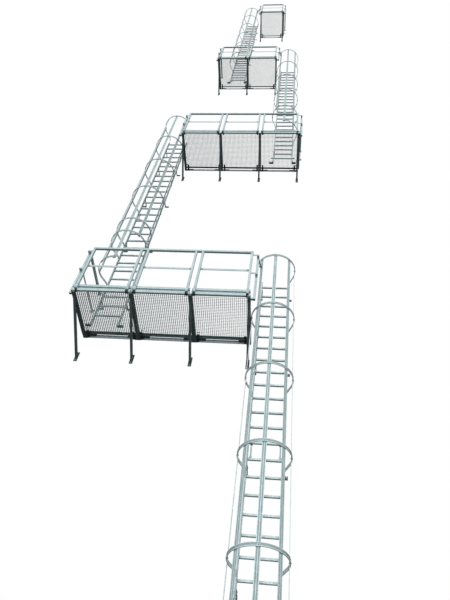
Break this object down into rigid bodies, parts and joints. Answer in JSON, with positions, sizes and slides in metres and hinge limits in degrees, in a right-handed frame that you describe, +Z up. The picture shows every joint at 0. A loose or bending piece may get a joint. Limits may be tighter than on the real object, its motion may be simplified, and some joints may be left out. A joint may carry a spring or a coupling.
{
  "type": "fixed steel ladder",
  "caption": "Tall galvanised steel wall ladder in staggered caged flights with cantilevered grating landings, railings and side exits, held to the wall by brackets.",
  "frame": {"origin": "centre of the back face of the lowest wall bracket of the first flight, on the wall's face and 0.70 m above the ground", "axes": "+X right along the wall, +Y into the wall, +Z up"},
  "size_m": [3.981, 1.096, 30.47],
  "materials": {
    "stile_steel": "hot-dip galvanised rectangular tube, pale grey with a faint crystal pattern",
    "rung_steel": "hot-dip galvanised bar, a little brighter where boots rub",
    "bracket_steel": "hot-dip galvanised flat bar, dull",
    "hoop_steel": "hot-dip galvanised flat band",
    "strap_steel": "hot-dip galvanised ribbed strap, pale and slightly bluish",
    "frame_steel": "hot-dip galvanised channel, bright in the sun",
    "grating_steel": "hot-dip galvanised grating, dull",
    "support_steel": "hot-dip galvanised section, dull with darker weathering",
    "post_steel": "hot-dip galvanised square tube",
    "rail_steel": "hot-dip galvanised rail, slightly weathered",
    "plate_steel": "hot-dip galvanised plate, dull"
  },
  "bodies": {
    "root": {"flight_1_stiles": "stile_steel", "flight_1_rungs": "rung_steel", "flight_1_wall_brackets": "bracket_steel", "flight_1_cage_hoops": "hoop_steel", "flight_1_cage_straps": "strap_steel", "flight_2_stiles": "stile_steel", "flight_2_rungs": "rung_steel", "flight_2_wall_brackets": "bracket_steel", "flight_2_cage_hoops": "hoop_steel", "flight_2_cage_straps": "strap_steel", "flight_3_stiles": "stile_steel", "flight_3_rungs": "rung_steel", "flight_3_wall_brackets": "bracket_steel", "flight_3_cage_hoops": "hoop_steel", "flight_3_cage_straps": "strap_steel", "flight_4_stiles": "stile_steel", "flight_4_rungs": "rung_steel", "flight_4_wall_brackets": "bracket_steel", "flight_4_cage_hoops": "hoop_steel", "flight_4_cage_straps": "strap_steel", "landing_1_floor_frames": "frame_steel", "landing_1_gratings": "grating_steel", "landing_1_brackets": "support_steel", "landing_1_posts": "post_steel", "landing_1_rails": "rail_steel", "landing_2_floor_frames": "frame_steel", "landing_2_gratings": "grating_steel", "landing_2_brackets": "support_steel", "landing_2_posts": "post_steel", "landing_2_rails": "rail_steel", "landing_3_floor_frames": "frame_steel", "landing_3_gratings": "grating_steel", "landing_3_brackets": "support_steel", "landing_3_posts": "post_steel", "landing_3_rails": "rail_steel", "landing_4_floor_frames": "frame_steel", "landing_4_gratings": "grating_steel", "landing_4_brackets": "support_steel", "landing_4_posts": "post_steel", "landing_4_rails": "rail_steel", "stile_splices": "plate_steel", "stile_feet": "plate_steel", "exit_clamps": "plate_steel", "toe_boards": "rail_steel", "wall_rails": "support_steel"}
  },
  "joints": []
}
